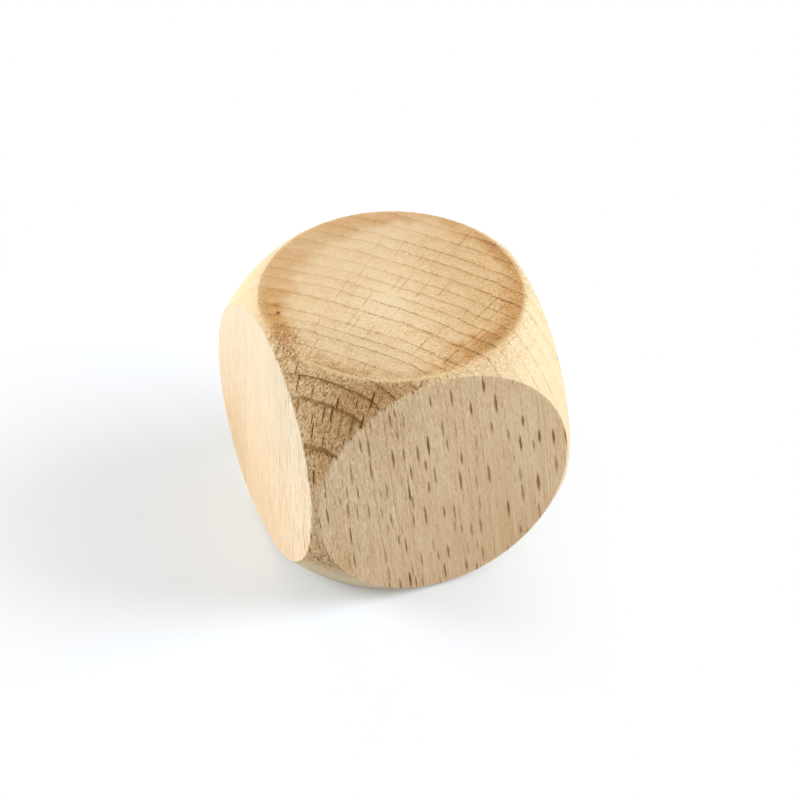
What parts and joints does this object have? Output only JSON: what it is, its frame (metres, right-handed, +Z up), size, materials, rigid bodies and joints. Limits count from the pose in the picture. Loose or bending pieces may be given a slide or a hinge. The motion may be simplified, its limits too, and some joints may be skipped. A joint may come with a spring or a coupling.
{
  "type": "wooden cube",
  "caption": "Solid beech cube whose corners and edges are cut back to a ball, so every side keeps a round flat; unmarked, for use as a blank die, block or spacer.",
  "frame": {"origin": "centre of the base flat, which is the bottom centre of the block's box", "axes": "+Z up along the grain, so the top and base flats are end grain; -Y out of the front flat; +X out of the right flat"},
  "size_m": [0.02, 0.02, 0.02],
  "materials": {
    "beech": "bare sanded beech, matt, end grain on the top and base"
  },
  "bodies": {
    "root": {"block": "beech"}
  },
  "joints": []
}
